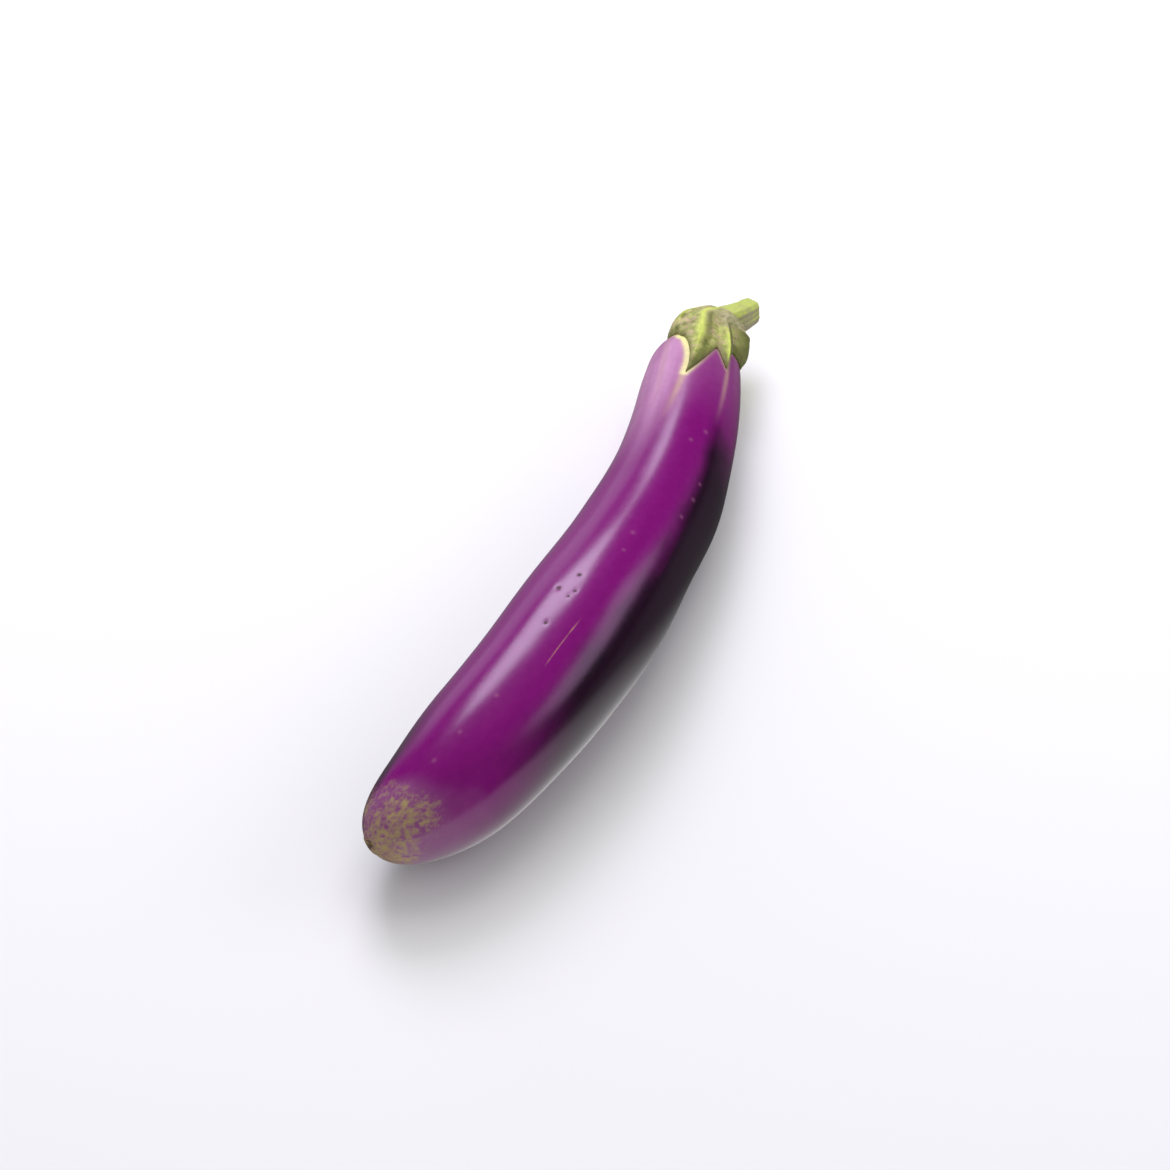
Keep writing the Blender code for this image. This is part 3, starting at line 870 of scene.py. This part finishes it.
def calyx_material():
    """Fleshy calyx: mottled green, olive, pinkish and grey-brown, with yellow-green ribs and painted shade on
    a rib's flank, a gap, the hanging lobe and the tips.
    """
    made, tree, shader = new_material("calyx flesh")
    straight, rise, side, along, angle = straight_place(tree)
    rib = tree.number("rib")
    down = tree.number("down")
    blotch = tree.noise(straight, 0.22, 5, 0.62)
    stain = tree.noise(tree.vector(rise, side + 40, along), 0.3, 5, 0.65)
    fine = tree.noise(straight, 1.1, 4, 0.7)
    fibre = tree.noise(tree.vector(rise * 0.6, side * 0.6, along * 0.16), 1.0, 4, 0.6)
    colour = tree.blend((blotch + fine * 0.3).ramp(0.52, 0.76), CALYX_OLIVE, CALYX_GREEN)
    colour = tree.blend((stain + fine * 0.25).ramp(0.58, 0.72) * 0.9, colour, CALYX_PINK)
    colour = tree.blend((stain - fine * 0.3).ramp(0.32, 0.22) * 0.6, colour, CALYX_DARK_AND_SHADE)
    swing = down**LOBE_SWING
    from_rib = angle - swing * UPPER_RIB[1] - UPPER_RIB[0]

    # The crown is grey-brown on its convex side. Painted shade darkens the rib's flank, the gap before the
    # hanging lobe, the hanging lobe and the lobes' tips.
    crown = (angle + blotch * 20).bell(CROWN_ANGLE, 40) * (down + blotch * 0.3).ramp(0.85, 0.45)
    colour = tree.blend((crown * 1.3).clamped() * 0.85, colour, CALYX_GREY)
    flank = (from_rib + fine * 4).bell(12, 6) * down.ramp(0.2, 0.5)
    hanging = (angle + blotch * 12).bell(HANGING_ANGLE, 26) * (down + fine * 0.2).ramp(0.42, 0.66)
    between = (angle + fine * 4).bell(BETWEEN_ANGLE, 5) * down.ramp(0.4, 0.6)
    tips = (down + fine * 0.2).ramp(0.9, 1.05)
    # Painted shade, from all the masks above.
    dark = (flank * 0.85 + hanging + between * 0.7 + tips * 0.6).clamped()
    colour = tree.blend(dark * 0.9, colour, CALYX_DARK_AND_SHADE)

    # Yellow-green ribs: the upper lobe's is the brightest, and fades before its tip.
    upper = (from_rib + fibre * 4 - 2).bell(0, 4.5) * (down + fine * 0.2).ramp(0.95, 0.7)
    second = (angle - swing * SECOND_RIB[1] + fibre * 3).bell(SECOND_RIB[0], 3)
    second = second * down.ramp(0.5, 0.65) * down.ramp(1.0, 0.85)
    others = rib.ramp(0.7, 0.98) * (angle - 60).size().ramp(60, 80) * down.ramp(0.95, 0.5) * 0.7
    ribs = (upper + second + others) * (0.7 + fibre * 0.5)
    colour = tree.blend(ribs.clamped() * 0.9, colour, RIB_YELLOW)
    speck = tree.noise(straight, 1.6, 3, 0.7).ramp(0.64, 0.72)
    colour = tree.blend(speck * 0.5, colour, CALYX_SPECK)
    lit = tree.brightened(colour, 0.2 + fibre * 0.6 + fine * 0.5 + blotch * 0.5)
    bump = tree.bump(fibre * 0.6 + fine * 0.6 + stain * 0.5, 0.6, 0.3)
    feed(tree, shader, Base_Color=lit, Roughness=0.5 + fine * 0.2, Normal=bump)
    return made


# The stem: its ridges, where its path runs, how far past its cut it is swept, its end's size against its
# root's, and how it flares at its root. CUT_TILT is the cut's angle, and STEM_CUT_RIM the width of its rim.
RIDGE_HEIGHT = 0.06
STEM_RIDGES = 5
STEM_SIDES = 120
STEM_STEPS = 120
STEM_STATIONS = 3
STEM_ROOT_GAP = 0.5
STEM_CROWN_EXIT = -17
STEM_REACH = (9.8, -4.4, -1.2)
STEM_END_SCALE = 0.74
STEM_CUT_OFF = 4
STEM_CUT_RIM = 0.5
CUT_TILT = 24
STEM_FLARE = 0.1
STEM_FLARE_END = 0.7


def stem_tree():
    """The stem: a ridged section swept along its path, flared at its root."""
    inputs = {
        "Radius": ("Float", STEM_RADIUS * MM),
        "Ridges": ("Float", STEM_RIDGES),
        "Ridge Height": ("Float", RIDGE_HEIGHT),
        "Fine Ridge Height": ("Float", 0.014),
        "Flare": ("Float", STEM_FLARE),
        "Flare End": ("Float", STEM_FLARE_END),
        "Sides": ("Int", STEM_SIDES),
        "Steps": ("Int", STEM_STEPS),
        "Material": ("Material", None),
    }
    tree, given = geometry_tree("stem along its path", inputs)
    sockets = {"Curve": given["Geometry"], "Count": given["Steps"]}
    path = tree.add("GeometryNodeResampleCurve", sockets)
    travelled = tree.add("GeometryNodeSplineParameter", output="Factor")
    flare = (1 - travelled / given["Flare End"]).at_least(0) ** 2 * given["Flare"]
    swell = travelled.bell(0.86, 0.05) * 0.04 + (travelled * 21).sine() * 0.012
    taper = tree.add("GeometryNodeInputRadius")
    size = given["Radius"] * taper * (1 + flare + swell)
    path = store_vector(tree, path, "travelled", tree.vector(travelled, 0, 0))
    circle = {"Resolution": given["Sides"], "Radius": 1}
    section = tree.add("GeometryNodeCurvePrimitiveCircle", circle)
    turn = tree.add("GeometryNodeSplineParameter", output="Factor") * (2 * pi)
    ridge = 1 + given["Ridge Height"] * (turn * given["Ridges"]).cosine()
    ridge = ridge + given["Fine Ridge Height"] * (turn * 19 + (turn * 3).sine()).cosine()
    outline = tree.vector(turn.cosine() * ridge, turn.sine() * ridge, 0)
    section = tree.add("GeometryNodeSetPosition", {"Geometry": section, "Position": outline})
    section = store_vector(tree, section, "section", outline)
    sockets = {"Curve": path, "Profile Curve": section, "Scale": size, "Fill Caps": True}
    body = tree.add("GeometryNodeCurveToMesh", sockets)
    body = tree.add("GeometryNodeSetShadeSmooth", {"Geometry": body})
    return end_tree(tree, body, given["Material"])


def stem_route():
    """The places that the stem's middle runs through, its direction at each, and the middle of its cut."""
    in_crown = np.linspace(-STEM_ROOT_GAP, STEM_CROWN_EXIT, STEM_STATIONS)
    places = [Vector(bent(0, 0, along)) * MM for along in in_crown]
    directions = [outward_at(along) for along in in_crown]
    cut_place = places[-1] + Vector(STEM_REACH) * MM
    aside = (cut_place - places[-1]).normalized()
    places.append(cut_place + aside * STEM_CUT_OFF * MM)
    directions.append(aside)
    return places, directions, cut_place


def stem_path(places, directions):
    """The stem's route as a smooth curve that thins towards its end."""
    path = bpy.data.curves.new("stem path", "CURVE")
    path.dimensions = "3D"
    path.resolution_u = 24
    points = path.splines.new("BEZIER").bezier_points
    points.add(len(places) - 1)
    spans = [(end - start).length / 3 for start, end in zip(places, places[1:])]
    for i, point in enumerate(points):
        point.co = places[i]
        point.handle_left = places[i] - directions[i] * spans[max(i - 1, 0)]
        point.handle_right = places[i] + directions[i] * spans[min(i, len(spans) - 1)]
    points[-1].radius = STEM_END_SCALE
    return path


def build_stem():
    """The stem in place of its solid, cut aslant, with a low rim of rind round the cut."""
    places, directions, cut_place = stem_route()
    aside = directions[-1]
    path = stem_path(places, directions)
    mesh = grown("stem_stalk", stem_tree(), {"Material": stem_material()}, path)
    cut = bmesh.new()
    cut.from_mesh(mesh)
    bmesh.ops.remove_doubles(cut, verts=cut.verts, dist=MERGE_DISTANCE * MM)
    facing = aside * cos(radians(CUT_TILT)) - Vector((0, 0, sin(radians(CUT_TILT))))
    everything = cut.verts[:] + cut.edges[:] + cut.faces[:]
    sliced = bmesh.ops.bisect_plane(
        cut, geom=everything, plane_co=cut_place, plane_no=facing, clear_outer=True
    )
    rim = [item for item in sliced["geom_cut"] if isinstance(item, bmesh.types.BMEdge)]
    made = bmesh.ops.contextual_create(cut, geom=rim)
    bmesh.ops.recalc_face_normals(cut, faces=cut.faces)
    width = STEM_CUT_RIM * MM
    inset = bmesh.ops.inset_individual(cut, faces=made["faces"], thickness=width, depth=-width / 3)
    cut_faces = made["faces"] + inset["faces"]
    for face in cut_faces:
        face.material_index = 1
        face.smooth = False
    cut.verts.index_update()
    on_cut = {vertex.index for face in cut_faces for vertex in face.verts}
    cut.to_mesh(mesh)
    cut.free()
    hairy = np.array([i not in on_cut for i in range(len(mesh.vertices))])
    store(mesh, "hairy", "FLOAT", hairy)
    mesh.materials.append(cut_material(cut_place))
    return finish_piece("stem_stalk", mesh, "stem")


# The next two colours are the painted light on the stem's top and the painted shade on its under side.
STEM_PAINTED_LIGHT_GREEN = rgb(0.5, 0.58, 0.11)
STEM_GREY = rgb(0.36, 0.32, 0.19)
STEM_OLIVE = rgb(0.4, 0.42, 0.14)
STEM_SPECK = rgb(0.12, 0.09, 0.04)


def stem_material():
    """Stalk skin, rough and finely ridged: painted light makes it yellow-green where it faces up, and painted
    shade grey-brown on its under side.
    """
    made, tree, shader = new_material("stem skin")
    place = tree.add("ShaderNodeTexCoord", output="Object")
    up = tree.add("ShaderNodeNewGeometry", output="Normal").parts()[2]
    travelled = tree.triple("travelled").parts()[0]
    blotch = tree.noise(place, 200, 4, 0.6)
    fine = tree.noise(place, 1000, 4, 0.65)
    # Painted light and shade: greener and lighter where the surface faces up, grey-brown where it faces down.
    colour = tree.blend((up + blotch - 0.5).ramp(0.1, 0.75), STEM_GREY, STEM_OLIVE)
    painted_light = (up + blotch * 1.4 - 0.7).ramp(0.45, 0.95) * (travelled + blotch * 0.2).ramp(0.5, 0.66)
    colour = tree.blend(painted_light * (fine + 0.3).clamped(), colour, STEM_PAINTED_LIGHT_GREEN)
    colour = tree.blend(fine.ramp(0.6, 0.75) * 0.4, colour, STEM_SPECK)
    lit = tree.brightened(colour, 0.75 + fine * 0.5)
    bump = tree.bump(fine + blotch, 0.6, 0.3)
    feed(tree, shader, Base_Color=lit, Roughness=0.5 + fine * 0.2, Normal=bump)
    return made


CUT_PITH = rgb(0.46, 0.43, 0.22)
CUT_RIND = rgb(0.28, 0.26, 0.1)
CUT_RING = rgb(0.2, 0.14, 0.06)


def cut_material(centre):
    """The stem's cut end: pale pith inside a green-brown ring."""
    made, tree, shader = new_material("stem cut")
    place = tree.add("ShaderNodeTexCoord", output="Object")
    away = tree.vector_math("SUBTRACT", place, tuple(centre))
    away = tree.add("ShaderNodeVectorMath", {0: away}, "Value", operation="LENGTH")
    away = away / (STEM_RADIUS * MM)
    grain = tree.noise(place, 1500, 4, 0.7)
    colour = tree.blend((away + grain * 0.2).ramp(0.62, 0.82), CUT_PITH, CUT_RIND)
    colour = tree.blend((away + grain * 0.2).bell(0.66, 0.06) * 0.5, colour, CUT_RING)
    bump = tree.bump(grain, 0.8, 0.3)
    feed(tree, shader, Base_Color=colour, Roughness=0.6 + grain * 0.2, Normal=bump)
    return made


def hair_tree():
    """Short tapered hairs, scattered over what is hairy and clear of the floor, leaning a little each way."""
    inputs = {
        "Length": ("Float", 0.4 * MM),
        "Thickness": ("Float", 0.03 * MM),
        "Hairs per Square Metre": ("Float", 1.6e6),
        "Lean": ("Float", 0.7),
        "Seed": ("Int", 7),
        "Material": ("Material", None),
    }
    tree, given = geometry_tree("short hairs", inputs)
    hairy = tree.add("GeometryNodeInputNamedAttribute", {"Name": "hairy"}, data_type="FLOAT")
    height = tree.add("GeometryNodeInputPosition").parts()[2]
    hairy = hairy * height.ramp(given["Length"], given["Length"] * 2)
    hairy = tree.add("FunctionNodeCompare", {0: hairy, 1: 0.5}, operation="GREATER_THAN")
    sockets = {
        "Mesh": given["Geometry"],
        "Selection": hairy,
        "Density": given["Hairs per Square Metre"],
        "Seed": given["Seed"],
    }
    roots = tree.add("GeometryNodeDistributePointsOnFaces", sockets, "Points")
    way = {0: (-1, -1, -1), 1: (1, 1, 1), 8: given["Seed"]}
    sideways = tree.add("FunctionNodeRandomValue", way, data_type="FLOAT_VECTOR")
    leaning = tree.vector_math("ADD", roots.output("Normal"), tree.scaled(sideways, given["Lean"]))
    turn = tree.add("FunctionNodeAlignRotationToVector", {"Vector": leaning}, axis="Z")
    span = {2: 0.5, 3: 1.2, 8: given["Seed"] + 1}
    sizes = tree.add("FunctionNodeRandomValue", span, 1, data_type="FLOAT")
    cone = {"Vertices": 3, "Radius Top": 0, "Depth": given["Length"]}
    hair = tree.add("GeometryNodeMeshCone", {**cone, "Radius Bottom": given["Thickness"]})
    placed = {"Points": roots, "Instance": hair, "Rotation": turn, "Scale": sizes}
    hairs = tree.add("GeometryNodeInstanceOnPoints", placed)
    return end_tree(tree, hairs, given["Material"])


HAIR_PALE = rgb(0.5, 0.5, 0.3)


def hair_material():
    """Pale hairs, a little darker here and there."""
    made, tree, shader = new_material("hairs")
    place = tree.add("ShaderNodeTexCoord", output="Object")
    uneven = tree.noise(place, 300, 2)
    lit = tree.brightened(HAIR_PALE, 0.7 + uneven * 0.6)
    feed(tree, shader, Base_Color=lit, Roughness=0.55 + uneven * 0.2)
    return made


def build_hairs(base, tree_nodes, look):
    """The hairs on a finished piece, as a piece of their own."""
    name = base.name + "_hairs"
    mesh = grown(name, tree_nodes, {"Material": look}, base.data.copy())
    return finish_piece(name, mesh)


# The camera looks down at the eggplant as the photograph does.
CAMERA_PLACE = (-582.93, -262.75, 695.0)
CAMERA_TURN = (43, 0, -65)
LENS = 85
SENSOR = 36
CLIP_END = 50


def add_camera():
    """The camera at the photograph's viewing angle."""
    lens = bpy.data.cameras.new("camera")
    lens.lens = LENS
    lens.sensor_width = SENSOR
    lens.clip_end = CLIP_END
    camera = bpy.data.objects.new("camera", lens)
    camera.location = Vector(CAMERA_PLACE) * MM
    camera.rotation_euler = [radians(turn) for turn in CAMERA_TURN]
    bpy.context.scene.collection.objects.link(camera)
    bpy.context.scene.camera = camera


# Soft lights: the azimuth and elevation at which each stands, its distance and size in metres, its power in
# watts, and whether the gloss sees it.
LIGHTS = (
    ("key softbox", 37, 45, 1.3, (0.6, 0.56), 8.6, True),
    ("back softbox", 53, 7, 1.5, (0.75, 0.8), 2.1, True),
    ("side softbox", -54, 31, 1.4, (0.9, 0.46), 2.9, True),
    ("top softbox", 20, 62, 1.5, (1.2, 1.2), 9, False),
)
WINDOW_BLUE = (0.86, 0.83, 1)
WHITE = (1, 1, 1)
SKY_STRENGTH = 0.5

# The floor, in metres, and the plane just under it that gloss sees in its place, which glows in front of the
# eggplant and behind it: how strongly, and from where to where it fades.
FLOOR_SIZE = 12
FLOOR_WHITE = 0.9
GLOW_DEPTH = 0.001
FLOOR_GLOW = 0.1
FRONT_GLOW = 0.9
FRONT_REACH = (0.03, -0.06)
FRONT_BORDER = (0.02, -0.02)
BACK_GLOW = 0.12
BACK_REACH = (-0.12, -0.03)


def add_light(name, azimuth, elevation, distance, size, power, in_gloss):
    """A rectangular softbox that faces the eggplant."""
    box = bpy.data.lights.new(name, "AREA")
    box.shape = "RECTANGLE"
    box.size, box.size_y = size
    box.energy = power
    box.color = WINDOW_BLUE if in_gloss else WHITE
    lamp = bpy.data.objects.new(name, box)
    azimuth, elevation = radians(azimuth), radians(elevation)
    level = cos(elevation) * distance
    place = (level * cos(azimuth), level * sin(azimuth), sin(elevation) * distance)
    lamp.location = place
    lamp.visible_glossy = in_gloss
    lamp.rotation_euler = Vector(place).to_track_quat("Z", "Y").to_euler()
    bpy.context.scene.collection.objects.link(lamp)


def add_level_plane(name, height, made):
    """A large level plane that isn't part of the object."""
    mesh = bpy.data.meshes.new(name)
    half = FLOOR_SIZE / 2
    signs = ((-1, -1), (1, -1), (1, 1), (-1, 1))
    corners = [(half * x, half * y, height) for x, y in signs]
    mesh.from_pydata(corners, [], [(0, 1, 2, 3)])
    mesh.materials.append(made)
    plane = bpy.data.objects.new(name, mesh)
    bpy.context.scene.collection.objects.link(plane)
    return plane


def add_floor():
    """A pale floor, and a dimmer plane that gloss sees in its place."""
    made, tree, shader = new_material("floor white")
    feed(tree, shader, Base_Color=rgb(FLOOR_WHITE, FLOOR_WHITE, FLOOR_WHITE), Roughness=0.9)
    floor = add_level_plane("floor", 0, made)
    floor.visible_glossy = False
    made, tree, shader = new_material("floor as gloss sees it")
    across, back, _ = tree.add("ShaderNodeTexCoord", output="Object").parts()
    front = back.ramp(*FRONT_BORDER)
    glow = front * across.ramp(*FRONT_REACH) * FRONT_GLOW
    glow = glow + (1 - front) * across.ramp(*BACK_REACH) * BACK_GLOW + FLOOR_GLOW
    grey = tree.vector(glow, glow, glow)
    feed(tree, shader, Base_Color=rgb(0, 0, 0), Emission_Color=grey, Emission_Strength=1)
    made.cycles.emission_sampling = "NONE"
    mirrored = add_level_plane("floor in gloss", -GLOW_DEPTH, made)
    mirrored.visible_camera = False
    mirrored.visible_diffuse = False
    mirrored.visible_shadow = False


def add_studio():
    """The floor, softboxes and a white surround that gloss doesn't see."""
    add_floor()
    for light in LIGHTS:
        add_light(*light)
    world = bpy.data.worlds.new("studio")
    bpy.context.scene.world = world
    world.use_nodes = True
    sky = world.node_tree.nodes["Background"]
    sky.inputs["Strength"].default_value = SKY_STRENGTH
    sky.inputs["Color"].default_value = rgb(*WHITE)
    world.cycles_visibility.glossy = False
    bpy.context.scene.view_settings.view_transform = "Standard"


def main():
    """Builds the pieces, the camera and the studio."""
    add_camera()
    axis = axis_object()
    build_fruit(axis)
    calyx = build_calyx()
    stem = build_stem()
    bpy.data.objects.remove(axis)
    hairs = hair_tree()
    look = hair_material()
    build_hairs(calyx, hairs, look)
    build_hairs(stem, hairs, look)
    add_studio()


main()
